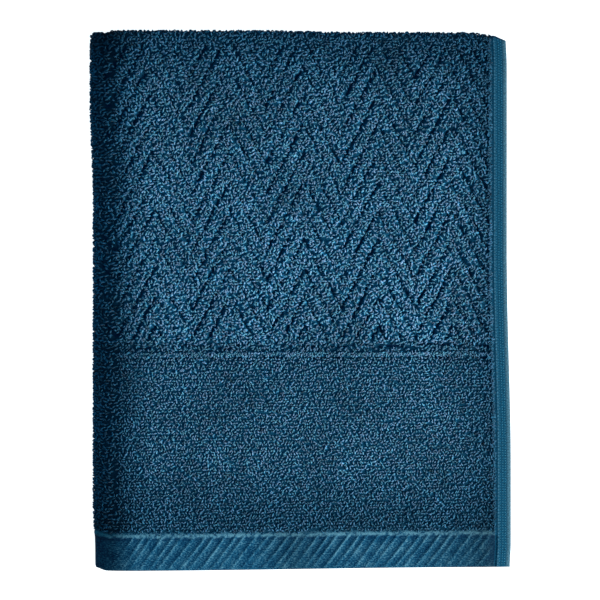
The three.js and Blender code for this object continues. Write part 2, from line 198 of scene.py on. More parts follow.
# Camera over the towel, and the photograph's frame at the height of the face
CAMERA_HEIGHT = 4.0
PHOTO_MM_PER_PIXEL = 0.9104
PHOTO_SIZE = 600
PHOTO_CENTRE = (0.0, 0.28)
SENSOR = 36.0

# Sizes that follow from those above
FLAT_WIDTH = 2 * HALF_WIDTH - BEND_REACH
BEND_LENGTH = TOWEL_WIDTH - 2 * FLAT_WIDTH
BEND_X = -HALF_WIDTH + BEND_REACH
FOLD_RADIUS = LAYER_PITCH / 2
FOLD_LENGTH = math.pi * FOLD_RADIUS
FOLD_OUTER = FOLD_RADIUS + PILE_THICKNESS / 2
TOP_FOLD_Y = HALF_LENGTH - FOLD_OUTER
LOWER_FOLD_Y = -HALF_LENGTH + LOWER_FOLD_SETBACK + FOLD_OUTER
FIRST_PANEL = TOP_FOLD_Y + HALF_LENGTH
SECOND_START = FIRST_PANEL + FOLD_LENGTH
LOWER_FOLD_START = SECOND_START + TOP_FOLD_Y - LOWER_FOLD_Y
THIRD_START = LOWER_FOLD_START + FOLD_LENGTH
SIDE_HEM_WIDTH = SIDE_HEM[-1][0]
END_HEM_WIDTH = END_HEM[-1][0]


def smooth(start, end, value):
    """Smooth step from 0 to 1 while the value goes from one limit to the other, in either direction."""
    share = np.clip((value - start) / (end - start), 0, 1)
    return share * share * (3 - 2 * share)


def read_table(table, at):
    return np.interp(at, [row[0] for row in table], [row[1] for row in table])


def mix(a, b, share):
    return a + (b - a) * share


def side_inset(across):
    return np.minimum(across, TOWEL_WIDTH - across)


def end_inset(along):
    return np.minimum(along, TOWEL_LENGTH - along)


def thickness_at(across, along):
    return np.minimum(read_table(SIDE_HEM, side_inset(across)), read_table(END_HEM, end_inset(along)))


def section_at(along):
    """Middle of the cloth in the plane of the first folds: y, depth below the outer face, and the
    direction that the pattern face looks in."""
    top_turn = np.clip((along - FIRST_PANEL) / FOLD_RADIUS, 0, math.pi)
    low_turn = np.clip((along - LOWER_FOLD_START) / FOLD_RADIUS, 0, math.pi)
    y = (
        np.minimum(along, FIRST_PANEL)
        - HALF_LENGTH
        + FOLD_RADIUS * (np.sin(top_turn) - np.sin(low_turn))
        - np.clip(along - SECOND_START, 0, TOP_FOLD_Y - LOWER_FOLD_Y)
        + np.maximum(along - THIRD_START, 0)
    )
    depth = PILE_THICKNESS / 2 + FOLD_RADIUS * (2 - np.cos(top_turn) - np.cos(low_turn))
    face_y = np.sin(top_turn) + np.sin(low_turn)
    face_depth = -np.cos(top_turn) * np.cos(low_turn)
    return y, depth, face_y, face_depth


def edge_shift(edge, at):
    return sum(amount * smooth(start, end, at) for amount, start, end in OUTLINE[edge])


def cloth_point(across, along, side, lift=0.0):
    """Points on the pattern face (side 1) or the back face (side -1), lifted off that face, in mm."""
    y, depth, face_y, face_depth = section_at(along)
    turn = math.pi * np.clip((across - FLAT_WIDTH) / BEND_LENGTH, 0, 1)
    lower_share = (1 - np.cos(turn)) / 2
    upward = 1 - 2 * lower_share
    recess = PILE_THICKNESS - thickness_at(across, along)
    offset = PILE_THICKNESS / 2 - recess * (1 - side * upward * face_depth) / 2 + lift
    depth = depth + side * face_depth * offset
    flat_y = y + side * face_y * offset

    flat_x = HALF_WIDTH - np.minimum(side_inset(across), FLAT_WIDTH)
    second = smooth(FIRST_PANEL - SETBACK_EASE, SECOND_START + SETBACK_EASE, along)
    third = smooth(LOWER_FOLD_START - SETBACK_EASE, THIRD_START + SETBACK_EASE, along)
    setback = SECOND_SETBACK * second + THIRD_SETBACK * third + LOWER_HALF_SETBACK * lower_share
    bend_x = BEND_X - (BEND_REACH - depth) * np.sin(turn)
    in_bend = (turn > 0) & (turn < math.pi)
    x = np.where(in_bend, bend_x, flat_x - setback * smooth(SETBACK_FROM_X, SETBACK_TO_X, flat_x))
    z = STACK_HEIGHT / 2 + (STACK_HEIGHT / 2 - depth) * np.cos(turn)

    z = z - TOP_SAG * smooth(HALF_LENGTH - TOP_SAG_LENGTH, HALF_LENGTH, flat_y) * (1 - lower_share)
    hem_share = smooth(HEM_SAG_LENGTH - HALF_LENGTH, -HALF_LENGTH, flat_y)
    z = z - np.where(along < END_HEM_WIDTH, HEM_SAG * hem_share * (1 - lower_share), 0)
    z = z - FOLD_SAG * smooth(FOLD_SAG_LENGTH - HALF_WIDTH, -HALF_WIDTH, x) * (1 - lower_share)
    squash = 1 - EDGE_SQUASH * smooth(HALF_WIDTH - EDGE_SQUASH_LENGTH, HALF_WIDTH, x)
    swell_x = np.sin(x / SWELL["length_x"] + SWELL["phase_x"])
    swell_y = np.sin(flat_y / SWELL["length_y"] + SWELL["phase_y"])
    z = z * squash * (1 + SWELL["share"] * swell_x * swell_y)

    right_share = (x + HALF_WIDTH) / (2 * HALF_WIDTH)
    upper_share = (flat_y + HALF_LENGTH) / (2 * HALF_LENGTH)
    shift_x = mix(edge_shift("left", flat_y), edge_shift("right", flat_y), right_share)
    shift_y = mix(edge_shift("lower", x), edge_shift("upper", x), upper_share)
    return np.stack([x + shift_x, flat_y + shift_y, z], axis=-1)


def frame_shift():
    """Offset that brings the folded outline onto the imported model's."""
    across, along = np.meshgrid(
        np.linspace(0, TOWEL_WIDTH, OUTLINE_SAMPLES[0]), np.linspace(0, TOWEL_LENGTH, OUTLINE_SAMPLES[1])
    )
    points = cloth_point(across, along, 1).reshape(-1, 3)
    low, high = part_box(NODE)
    centre = (points.min(0) + points.max(0)) / 2
    return np.array([(low.x + high.x) / 2 / MM - centre[0], (low.y + high.y) / 2 / MM - centre[1], 0.0])


SHIFT = frame_shift()


def to_frame(points):
    """Points of the cloth, in metres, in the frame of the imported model."""
    return (points + SHIFT) * MM


def unevenness(across, along, length, seed):
    """Smooth, irregular values between about -1 and 1 that change over the given length."""
    random = np.random.default_rng(seed)
    total = np.zeros(np.broadcast(across, along).shape)
    for _ in range(WAVE_COUNT):
        direction = random.uniform(0, 2 * math.pi)
        wave = length * random.uniform(*WAVE_SPREAD)
        phase = random.uniform(0, 2 * math.pi)
        forward = across * math.cos(direction) + along * math.sin(direction)
        total += np.sin(2 * math.pi * forward / wave + phase)
    return total / WAVE_SCALE


def chevron_phase(across, along):
    """Length from the last groove to a place, measured along the cloth, from 0 to the band pitch."""
    upward = (along - FIELD_START) / (FIELD_END - FIELD_START)
    drift = read_table(CHEVRON_DRIFT, across) * mix(*CHEVRON_DRIFT_SHARE, upward)
    from_apex = np.abs(HALF_WIDTH - across + drift - CHEVRON_APEX_X) % CHEVRON_PITCH
    drop = CHEVRON_DROP * np.minimum(from_apex, CHEVRON_PITCH - from_apex) / (CHEVRON_PITCH / 2)
    wander = GROOVE_WANDER * unevenness(across, along, GROOVE_WANDER_LENGTH, SEED_OF["groove_wander"])
    wander += GROOVE_RAGGED * unevenness(across, along, GROOVE_RAGGED_LENGTH, SEED_OF["groove_ragged"])
    return (along + drop + wander - GROOVE_ALONG) % BAND_PITCH


def right_flank(across):
    """1 on the flank to the right of a chevron peak, 0 on the flank to its left."""
    from_peak = (HALF_WIDTH - across - CHEVRON_APEX_X + CHEVRON_PITCH / 2) % CHEVRON_PITCH - CHEVRON_PITCH / 2
    return smooth(-FLANK_EASE, FLANK_EASE, from_peak)


def beside_hem(across):
    """0 on the side hem, and 1 from a little beside it."""
    return smooth(*PATTERN_FROM_SIDE, across)


def parting(across, along, softness=PARTING_SOFTNESS):
    """How far the pile is parted along a groove: 0 between grooves, about 1 in the deepest part of one.
    The flanks that rise to the right are parted more than the others, and so are the right and the foot
    of the field."""
    phase = chevron_phase(across, along)
    from_groove = np.minimum(phase, BAND_PITCH - phase)
    flank = mix(1.0, PARTING_ON_RIGHT_FLANK, right_flank(across))
    leftward = mix(*PARTING_LEFTWARD, across / FLAT_WIDTH)
    uneven = PARTING_LEVEL
    for share, length, name in PARTING_WAVES:
        uneven = uneven + share * unevenness(across, along, length, SEED_OF[name])
    uneven = np.maximum(uneven, 0)
    downward = mix(PARTING_AT_FOOT, 1.0, smooth(FIELD_START, FIELD_START + PARTING_FOOT_LENGTH, along))
    width = PARTING_HALF_WIDTH * flank * leftward * downward * uneven
    open_share = smooth(width + softness, width - softness, from_groove) * smooth(*PARTING_FADE, width)
    open_share = open_share * field_share(across, along)
    inside = beside_hem(across) * smooth(FLAT_WIDTH, FLAT_WIDTH - LINE_END, across)
    wave = unevenness(across, 0 * along, LINE_SWAY_LENGTH, SEED_OF["line_sway"])
    for line, half_width, sway in BORDER_LINES:
        width = half_width * leftward * (uneven - LINE_THINNING)
        from_line = np.abs(along - line - sway * wave)
        share = smooth(width + LINE_SOFTNESS, width - LINE_SOFTNESS, from_line) * smooth(*LINE_FADE, width)
        open_share = np.maximum(open_share, share * inside)
    return open_share


def field_share(across, along):
    """1 in the chevron field, 0 outside it."""
    ends = smooth(FIELD_START, FIELD_START + FIELD_START_EASE, along)
    ends = ends * smooth(FIELD_END, FIELD_END - FIELD_END_EASE, along)
    far, near_face = FIELD_PAST_FACE
    return ends * smooth(FLAT_WIDTH + far, FLAT_WIDTH + near_face, across) * beside_hem(across)


def ridge(phase, width):
    """Narrow crest of height 1 at every whole number of the phase."""
    from_crest = phase - np.round(phase)
    return np.exp(-((from_crest / width) ** 2))


def hem_unevenness(across, along, settings, seed):
    """Uneven values of the end hem that change less along the towel than across it."""
    stretched = along * settings["stretch"]
    return settings["share"] * unevenness(across, stretched, settings["length"], seed)


def pucker_phase(across, along):
    """Counts the groups of three puckers in the end hem that lies on top."""
    wander = hem_unevenness(across, along, PUCKER_WANDER, SEED_OF["pucker_place"])
    return (HALF_WIDTH - across - PUCKER_FROM_X - along / PUCKER_SLOPE) / PUCKER_GROUP + wander


def pucker_share(across, along):
    """How high the slanting puckers stand at a place, from 0 to about 1.4. They start at the seam."""
    ends = mix(PUCKER_FOOT_SHARE, 1, smooth(*PUCKER_FOOT, along)) * smooth(0, PUCKER_EDGE, along)
    ends = ends * smooth(SEAM_ALONG, SEAM_ALONG - PUCKER_SEAM_EASE, along)
    sides = smooth(SIDE_HEM_WIDTH, SIDE_HEM_WIDTH + PUCKER_SIDE_EASE, across)
    far, near_face = PUCKER_PAST_FACE
    sides = sides * smooth(FLAT_WIDTH + far, FLAT_WIDTH + near_face, across)
    return ends * sides * (1 + hem_unevenness(across, along, PUCKER_SWELL, SEED_OF["pucker_swell"]))


def pucker_lift(across, along):
    phase = pucker_phase(across, along)
    crests = sum(share * ridge(phase - offset, PUCKER_WIDTH) for offset, share in PUCKER_CRESTS)
    return PUCKER_HEIGHT * crests * pucker_share(across, along)


def corner_gap(across, along):
    """How far the end hem sinks beside the side hem, from 0 to 1."""
    start, deep_start, deep_end, end = CORNER_GAP_SIDES
    depth = smooth(end, deep_end, across) * smooth(start, deep_start, across)
    return depth * smooth(SEAM_ALONG, SEAM_ALONG - CORNER_GAP_SEAM_EASE, along)


def relief(across, along):
    """Lift of the pattern face: puckers, border lines and chevron grooves."""
    depth = GROOVE_DEPTH + GROOVE_DEPTH_GAIN * (1 - 2 * across / FLAT_WIDTH)
    depth = depth * mix(1.0, RIGHT_FLANK_GAIN, right_flank(across))
    grooves = depth * read_table(BAND_PROFILE, chevron_phase(across, along)) * field_share(across, along)
    far, near_face = BORDER_PAST_FACE
    border_sides = beside_hem(across) * smooth(FLAT_WIDTH + far, FLAT_WIDTH + near_face, across)
    border = read_table(BORDER, along) * border_sides
    hem = pucker_lift(across, along) - CORNER_GAP_DEPTH * corner_gap(across, along)
    return grooves + border + np.where(along < HEM_RELIEF_END, hem, 0)


def pile_share(across, along):
    """1 where the cloth has loops, 0 on its hems."""
    first, last = PILE_PAST_SEAM
    beside = smooth(SIDE_HEM_WIDTH - PILE_SIDE_EASE, SIDE_HEM_WIDTH, side_inset(across))
    return beside * smooth(SEAM_ALONG + first, SEAM_ALONG + last, end_inset(along))


def make_mesh(name, vertices, quads):
    mesh = bpy.data.meshes.new(name)
    mesh.vertices.add(len(vertices))
    mesh.vertices.foreach_set("co", np.asarray(vertices, np.float32).ravel())
    quads = np.asarray(quads, np.int32)
    mesh.loops.add(quads.size)
    mesh.loops.foreach_set("vertex_index", quads.ravel())
    mesh.polygons.add(len(quads))
    mesh.polygons.foreach_set("loop_start", np.arange(len(quads), dtype=np.int32) * quads.shape[1])
    mesh.polygons.foreach_set("use_smooth", np.ones(len(quads), bool))
    mesh.update(calc_edges=True)
    mesh.validate()
    piece = bpy.data.objects.new(name, mesh)
    bpy.context.scene.collection.objects.link(piece)
    return piece


def add_uv(piece, name, per_vertex):
    layer = piece.data.uv_layers.new(name=name)
    corners = np.empty(len(piece.data.loops), np.int32)
    piece.data.loops.foreach_get("vertex_index", corners)
    layer.data.foreach_set("uv", np.asarray(per_vertex, np.float32)[corners].ravel())


def add_value(piece, name, values):
    attribute = piece.data.attributes.new(name, "FLOAT", "POINT")
    attribute.data.foreach_set("value", np.asarray(values, np.float32).ravel())


def steps(start, end, step):
    """Evenly spaced values from start up to, but without, end."""
    count = max(1, round((end - start) / step))
    return list(np.linspace(start, end, count, endpoint=False))


# Steps of the mesh up to each place, in mm: columns across the towel, and rows along its two faces. The
# rows from the first fold on are alike on both.
FOLD_STEPS = 8
COLUMNS = [
    (SIDE_HEM_WIDTH, 1.0),
    (FLAT_WIDTH, 1.25),
    (FLAT_WIDTH + BEND_LENGTH, 2.0),
    (TOWEL_WIDTH - SIDE_HEM_WIDTH, 14.0),
    (TOWEL_WIDTH, 2.6),
]
PATTERN_ROWS = [(END_HEM_WIDTH, 1.0), (192.4, 9.0), (195.4, 0.75), (210.0, 1.25), (FIRST_PANEL, 2.45)]
BACK_ROWS = [(2.0, 1.0), (END_HEM_WIDTH, 10.0), (FIRST_PANEL, 50.0)]
HIDDEN_ROWS = [
    (SECOND_START, FOLD_LENGTH / FOLD_STEPS),
    (LOWER_FOLD_START, 60.0),
    (THIRD_START, FOLD_LENGTH / FOLD_STEPS),
    (TOWEL_LENGTH - END_HEM_WIDTH, 60.0),
    (TOWEL_LENGTH, 5.0),
]


def read_steps(table):
    """Values from 0 to the last place of a table, with the step that it gives up to each place."""
    values = []
    start = 0
    for end, step in table:
        values += steps(start, end, step)
        start = end
    return np.array(values + [start])


def grid_quads(rows, columns, offset, side):
    corner = offset + np.arange(rows - 1)[:, None] * columns + np.arange(columns - 1)[None, :]
    quads = np.stack([corner, corner + columns, corner + columns + 1, corner + 1], axis=-1).reshape(-1, 4)
    return quads if side > 0 else quads[:, ::-1]


def zip_edges(first, second, first_keys, second_keys, flip):
    """Triangles between two rows of vertex numbers, walked in the order of their keys."""
    i = j = 0
    faces = []
    while i < len(first) - 1 or j < len(second) - 1:
        first_next = first_keys[i + 1] if i < len(first) - 1 else math.inf
        second_next = second_keys[j + 1] if j < len(second) - 1 else math.inf
        corner = first[i + 1] if first_next <= second_next else second[j + 1]
        face = [first[i], corner, second[j]]
        faces.append(face[::-1] if flip else face)
        if first_next <= second_next:
            i += 1
        else:
            j += 1
    return faces


def make_cloth():
    """The whole towel as one closed sheet. Under the loops its face is the woven ground."""
    columns = read_steps(COLUMNS)
    faces = []
    vertices = []
    places = []
    grids = []
    for side, table in ((1, PATTERN_ROWS), (-1, BACK_ROWS)):
        rows = read_steps(table + HIDDEN_ROWS)
        across, along = np.meshgrid(columns, rows)
        lift = np.zeros_like(across)
        if side > 0:
            outer = pile_share(across, along)
            outer = outer * smooth(SECOND_START + PILE_HIDDEN_EASE, SECOND_START, along)
            lift = relief(across, along) - PILE_DEPTH * outer
            lift -= PARTING_DEPTH * parting(across, along) * outer
        offset = sum(len(part) for part in vertices)
        vertices.append(cloth_point(across, along, side, lift).reshape(-1, 3))
        places.append(np.stack([across, along, np.full_like(across, side)], axis=-1).reshape(-1, 3))
        faces += [list(quad) for quad in grid_quads(len(rows), len(columns), offset, side)]
        grids.append((offset + np.arange(across.size).reshape(across.shape), rows))
    (front, front_rows), (back, rear_rows) = grids
    faces += zip_edges(front[0], back[0], columns, columns, False)
    faces += zip_edges(front[-1], back[-1], columns, columns, True)
    faces += zip_edges(front[:, 0], back[:, 0], front_rows, rear_rows, True)
    faces += zip_edges(front[:, -1], back[:, -1], front_rows, rear_rows, False)

    mesh = bpy.data.meshes.new("terry_ground")
    vertices = to_frame(np.concatenate(vertices))
    mesh.from_pydata(vertices.tolist(), [], faces)
    mesh.polygons.foreach_set("use_smooth", np.ones(len(mesh.polygons), bool))
    mesh.update()
    cloth = bpy.data.objects.new("terry_ground", mesh)
    bpy.context.scene.collection.objects.link(cloth)
    places = np.concatenate(places)
    across, along, side = places.T
    on_hem = (side > 0) & (along < END_HEM_WIDTH)
    add_uv(cloth, "Cloth", np.stack([across, along], axis=-1) * MM)
    add_value(cloth, "pile", np.where(side > 0, pile_share(across, along), 1))
    add_value(cloth, "parting", np.where(side > 0, parting(across, along), 0))
    add_value(cloth, "corner_gap", np.where(on_hem, corner_gap(across, along), 0))
    add_value(cloth, "pucker_phase", pucker_phase(across, along))
    add_value(cloth, "pucker_share", np.where(on_hem, pucker_share(across, along), 0))
    add_bake_uv(cloth, places)
    return cloth


# Texture layout: shares of its width and height at places across and along the face on top, the rows
# of the back face, and those of the rims
BAKE_ACROSS = [(0, 0.0), (20, 0.1), (405, 0.92), (TOWEL_WIDTH, 1.0)]
BAKE_ALONG = [(0, 0.0), (40, 0.3), (190, 0.5), (500, 0.85), (TOWEL_LENGTH, 0.95)]
BAKE_BACK = (0.96, 0.015)
BAKE_RIMS = (0.985, 0.995)


def add_bake_uv(cloth, places):
    """Texture layout: the face on top gets most of the area, the back face and the rims a narrow strip."""
    across, along, side = places.T
    u = read_table(BAKE_ACROSS, across)
    back = BAKE_BACK[0] + BAKE_BACK[1] * along / TOWEL_LENGTH
    v = np.where(side > 0, read_table(BAKE_ALONG, along), back)
    corners = np.empty(len(cloth.data.loops), np.int32)
    cloth.data.loops.foreach_get("vertex_index", corners)
    uv = np.stack([u, v], axis=-1)[corners]
    totals = np.empty(len(cloth.data.polygons), np.int32)
    cloth.data.polygons.foreach_get("loop_total", totals)
    rim = np.repeat(totals == 3, totals)
    uv[rim, 0] = (across + along)[corners][rim] / (TOWEL_WIDTH + TOWEL_LENGTH)
    uv[rim, 1] = np.where(side[corners][rim] > 0, *BAKE_RIMS)
    cloth.data.uv_layers.new(name="OFBake").data.foreach_set("uv", uv.astype(np.float32).ravel())


# Loops: corners of the yarn's section, places along the arch, the arch's shape, turn of the section,
# depth of its roots, spreads from loop to loop, and the share of a texture cell that a loop fills
RING = 3
ARCH = np.array([0.0, 0.25, 0.5, 0.75, 1.0])
ARCH_POWER = 0.6
RING_TURN = math.pi / 6
ROOT_DEPTH = 0.4
SPAN_SPREAD = (0.65, 1.35)
HEIGHT_SPREAD = (0.82, 1.1)
RADIUS_SPREAD = (0.78, 1.22)
BAKE_CELL_REACH = 0.4

# The loops are lower beside the side hem and at the top fold: share of their height, and where
LOWER_AT_SIDE = (0.85, 14.0, 20.0)
LOWER_AT_TOP = (0.8, 12.0, 2.0)


def loop_places(across_range, along_range, pitch, jitter, random):
    """Places of the loops' middles, in staggered rows that are more or less regular."""
    columns = np.arange(across_range[0], across_range[1], pitch[0])
    rows = np.arange(along_range[0], along_range[1], pitch[1])
    across, along = np.meshgrid(columns, rows)
    across = across + (np.arange(len(rows)) % 2)[:, None] * pitch[0] / 2
    across = across + random.normal(0, jitter * pitch[0], across.shape)
    along = along + random.normal(0, jitter * pitch[1], along.shape)
    inside = (across > across_range[0]) & (across < across_range[1])
    inside &= (along > along_range[0]) & (along < along_range[1])
    return across[inside], along[inside]


def make_loops(name, across, along, style, random):
    """Short arched tubes of yarn on the pattern face of the cloth, as one mesh."""
    count = len(across)
    turn = random.normal(style["turn"], style["turn_spread"], count)
    half_span = style["half_span"] * random.uniform(*SPAN_SPREAD, count)
    height = style["height"] * random.uniform(*HEIGHT_SPREAD, count)
    lean = random.normal(0, style["lean"], count)
    curl = random.normal(0, style["curl"], count)
    radius = style["radius"] * random.uniform(*RADIUS_SPREAD, count)

    bow = np.sin(math.pi * ARCH)
    forward = half_span[:, None] * (2 * ARCH - 1)[None, :]
    sideways = lean[:, None] * bow[None, :] + curl[:, None] * np.sin(2 * math.pi * ARCH)[None, :]
    cos, sin = np.cos(turn)[:, None], np.sin(turn)[:, None]
    loop_across = across[:, None] + forward * cos - sideways * sin
    loop_along = along[:, None] + forward * sin + sideways * cos
    share, first, last = LOWER_AT_SIDE
    height = height * mix(share, 1, smooth(first, last, side_inset(across)))
    share, first, last = LOWER_AT_TOP
    height = height * mix(1, share, smooth(FIRST_PANEL - first, FIRST_PANEL - last, along))
    height = height + CLUMP_HEIGHT * unevenness(across, along, CLUMP_LENGTH, SEED_OF["clumps"])
    root = relief(across, along) - PILE_DEPTH * pile_share(across, along) - ROOT_DEPTH
    lift = root[:, None] + (height[:, None] + ROOT_DEPTH) * bow[None, :] ** ARCH_POWER
    lift -= radius[:, None] * bow[None, :]
    centre = cloth_point(loop_across, loop_along, 1, lift)

    tangent = np.gradient(centre, axis=1)
    tangent /= np.linalg.norm(tangent, axis=2, keepdims=True)
    chord = centre[:, -1] - centre[:, 0]
    rise = centre[:, 2] - (centre[:, 0] + centre[:, -1]) / 2
    plane = np.cross(chord, rise)
    plane /= np.linalg.norm(plane, axis=1, keepdims=True) + 1e-9
    first = plane[:, None, :] - tangent * (plane[:, None, :] * tangent).sum(2, keepdims=True)
    first /= np.linalg.norm(first, axis=2, keepdims=True)
    second = np.cross(tangent, first)
    angles = 2 * math.pi * np.arange(RING) / RING + RING_TURN
    ring = (
        centre[:, :, None, :]
        + radius[:, None, None, None] * np.cos(angles)[None, None, :, None] * first[:, :, None, :]
        + radius[:, None, None, None] * np.sin(angles)[None, None, :, None] * second[:, :, None, :]
    )
    ring[..., 2] = np.maximum(ring[..., 2], 0)
    vertices = to_frame(ring.reshape(-1, 3))

    segment = np.arange(len(ARCH) - 1)[:, None] * RING
    around = np.arange(RING)[None, :]
    after = (around + 1) % RING
    above = segment + RING
    quad = np.stack([segment + around, segment + after, above + after, above + around], axis=-1)
    per_loop = len(ARCH) * RING
    quads = (quad.reshape(1, -1, 4) + np.arange(count)[:, None, None] * per_loop).reshape(-1, 4)
    piece = make_mesh(name, vertices, quads)

    tone = random.normal(0, 1, count)
    add_value(piece, "tone", np.repeat(tone, per_loop))
    add_value(piece, "tip", np.tile(np.repeat(bow, RING), count))
    add_value(piece, "shade", np.repeat(parting(across, along, SHADE_SOFTNESS), per_loop))
    cells = math.ceil(math.sqrt(count))
    row, column = np.divmod(np.arange(count), cells)
    around_share = np.arange(RING) / (RING - 1) * 2 - 1
    u = (column + 0.5)[:, None, None] + BAKE_CELL_REACH * (2 * ARCH - 1)[None, :, None]
    v = (row + 0.5)[:, None, None] + BAKE_CELL_REACH * around_share[None, None, :]
    u, v = np.broadcast_arrays(u, v)
    add_uv(piece, "OFBake", np.stack([u, v], axis=-1).reshape(-1, 2) / cells)
    uv = np.stack([loop_across, loop_along], axis=-1) * MM
    add_uv(piece, "Cloth", np.repeat(uv, RING, axis=1).reshape(-1, 2))
    return piece


# Styles of the loops: turn of a loop on the cloth in radians, and lengths in mm
FIELD_STYLE = {
    "turn": 0.0,
    "turn_spread": 0.95,
    "half_span": 1.45,
    "height": 2.1,
    "lean": 0.6,
    "curl": 0.35,
    "radius": 0.86,
}
THIN_STYLE = dict(FIELD_STYLE, half_span=1.25, lean=0.5, curl=0.3, radius=0.74)
BAND_STYLE = dict(THIN_STYLE, turn_spread=1.1, height=1.9)
RIDGE_STYLE = dict(THIN_STYLE, turn_spread=0.9, height=2.2)
RIM_STYLE = dict(FIELD_STYLE, half_span=1.2, height=1.7, lean=0.5, curl=0.4, radius=0.5)
PLAIN_STYLE = dict(FIELD_STYLE, half_span=1.9, radius=0.8)

# Limits of the pile's pieces across the towel and along it
BEND_START = FLAT_WIDTH + 2.0
BEND_END = FLAT_WIDTH + BEND_LENGTH
FACE = (12.0, BEND_START)
RIDGE = (15.5, BEND_START)
SIDE_STRIP = (14.4, 17.0)
LAST_FOLD = (BEND_START, BEND_END)
RIM = (15.0, FLAT_WIDTH + 4)
UNDERSIDE = (BEND_END, TOWEL_WIDTH - 13)
LOOPS_FROM = SEAM_ALONG + 1
BAND_END = FIELD_START - 8
FIELD_PIECES = 3
FIELD_LIMITS = np.linspace(BAND_END, SECOND_START + 6, FIELD_PIECES + 1)
BAND_ROWS = (LOOPS_FROM, BAND_END)
SIDE_ROWS = (SEAM_ALONG + 4, FIRST_PANEL)
RIM_ROWS = (SEAM_ALONG + 1.6, SEAM_ALONG + 3.4)
ALL_ROWS = (LOOPS_FROM, SECOND_START)

# Pieces of the pile: name, range across, range along, pitch across and along, jitter as a share of the
# pitch, style, and whether the hems and the partings cut it
PILE_PIECES = [
    (f"pile_field_{part + 1}", FACE, FIELD_LIMITS[part : part + 2], (2.5, 2.75), 0.27, FIELD_STYLE, True)
    for part in range(FIELD_PIECES)
] + [
    ("pile_band", FACE, BAND_ROWS, (2.5, 2.8), 0.2, BAND_STYLE, True),
    ("pile_ridge", RIDGE, RIDGE_ROWS, (2.3, 1.6), 0.22, RIDGE_STYLE, False),
    ("pile_side", SIDE_STRIP, SIDE_ROWS, (1.9, 1.9), 0.25, BAND_STYLE, False),
    ("pile_last_fold", LAST_FOLD, ALL_ROWS, (2.8, 3.0), 0.2, FIELD_STYLE, True),
    ("pile_rim", RIM, RIM_ROWS, (2.4, 1.8), 0.3, RIM_STYLE, False),
    ("pile_underside", UNDERSIDE, ALL_ROWS, (5.8, 5.8), 0.2, PLAIN_STYLE, True),
]

# Places are kept that lie further than this from the side hem's edge and from the seam, and that are
# parted less than this
CUT_FROM_SIDE = 14.2
CUT_FROM_SEAM = 3.4
CUT_PARTING = 0.5


def in_pile(across, along):
    """Places that lie off the hems and off the partings."""
    kept = (side_inset(across) > CUT_FROM_SIDE) & (end_inset(along) > SEAM_ALONG + CUT_FROM_SEAM)
    kept &= parting(across, along) < CUT_PARTING
    return across[kept], along[kept]


def make_pile():
    random = np.random.default_rng(SEED)
    pieces = []
    for name, across_range, along_range, pitch, jitter, style, cut in PILE_PIECES:
        places = loop_places(across_range, along_range, pitch, jitter, random)
        if cut:
            places = in_pile(*places)
        pieces.append(make_loops(name, *places, style, random))
    return pieces


# Materials


class Nodes:
    """Short calls to build a material's node tree."""

    def __init__(self, name):
        self.material = bpy.data.materials.new(name)
        self.material.use_nodes = True
        self.tree = self.material.node_tree
        self.shader = self.tree.nodes["Principled BSDF"]

    def add(self, kind, inputs=None, **settings):
        node = self.tree.nodes.new(kind)
        for key, value in settings.items():
            setattr(node, key, value)
        for key, value in (inputs or {}).items():
            if isinstance(value, bpy.types.NodeSocket):
                self.tree.links.new(value, node.inputs[key])
            else:
                node.inputs[key].default_value = value
        return node

    def link(self, output, socket):
        self.tree.links.new(output, self.shader.inputs[socket])

    def set_surface(self, settings):
        for socket, amount in settings.items():
            self.shader.inputs[socket].default_value = amount

    def math(self, operation, a, b=0.0):
        return self.add("ShaderNodeMath", {0: a, 1: b}, operation=operation).outputs[0]

    def value(self, name):
        return self.add("ShaderNodeAttribute", attribute_name=name).outputs["Fac"]

    def noise(self, vector, scale, detail):
        inputs = {"Vector": vector, "Scale": scale, "Detail": detail}
        return self.add("ShaderNodeTexNoise", inputs).outputs["Fac"]

    def about(self, value, centre, weight):
        """Distance of a value from a centre, times a weight."""
        return self.math("MULTIPLY", self.math("SUBTRACT", value, centre), weight)

    def place(self):
        """Place on the cloth as a vector in metres, and its lengths across and along in mm."""
        cloth = self.add("ShaderNodeUVMap", uv_map="Cloth").outputs[0]
        parts = self.add("ShaderNodeSeparateXYZ", {0: cloth}).outputs
        return cloth, self.math("MULTIPLY", parts[0], 1 / MM), self.math("MULTIPLY", parts[1], 1 / MM)

    def between(self, value, start, end, first, last):
        """Changes from the first amount to the last while the value goes from start to end."""
        return self.add("ShaderNodeMapRange", {0: value, 1: start, 2: end, 3: first, 4: last}).outputs[0]

    def table(self, value, rows):
        """Reads a table of places and amounts, with straight lines between them."""
        total = rows[0][1]
        for (start, first), (end, last) in zip(rows, rows[1:]):
            total = self.math("ADD", total, self.between(value, start, end, 0.0, last - first))
        return total

    def tint(self, colour, brightness):
        node = self.add("ShaderNodeVectorMath", {0: colour, 3: brightness}, operation="SCALE")
        return node.outputs[0]


# Colours of the looped yarn at the foot and at the tip of a loop, with blue as 1: painted shade at the foot,
# which also colours the ground between the loops, and painted highlights at the tip
YARN_SHADED_FOOT = (0.02, 0.53, 1.0)
YARN_HIGHLIGHT = (0.35, 0.77, 0.9)
YARN_HIGHLIGHT_PALE = (0.55, 0.73, 0.98)
# Painted shade: the ground's colour in the partings
PARTED_SHADE = (0.0, 0.01, 0.031)

# Colours of the woven hems: deep between the threads, and pale on them. The deep colour is also painted shade
# and painted shadow in the end hem, and the pale one a painted highlight on the puckers' crests
WOVEN_DEEP_AND_SHADE = (0.0, 0.014, 0.037)
WOVEN = (0.004, 0.047, 0.083)
WOVEN_PALE_AND_LIT = (0.055, 0.128, 0.16)
SEAM_THREAD = (0.066, 0.148, 0.18)
SIDE_DEEP = (0.001, 0.029, 0.053)
SIDE_THREAD = (0.036, 0.13, 0.172)
SIDE_EDGE = (0.03, 0.07, 0.09)
# Painted shade in the side hem's crease and at its foot
SIDE_GROOVE_SHADE = (0.0, 0.018, 0.036)
SIDE_STITCH = (0.022, 0.07, 0.1)
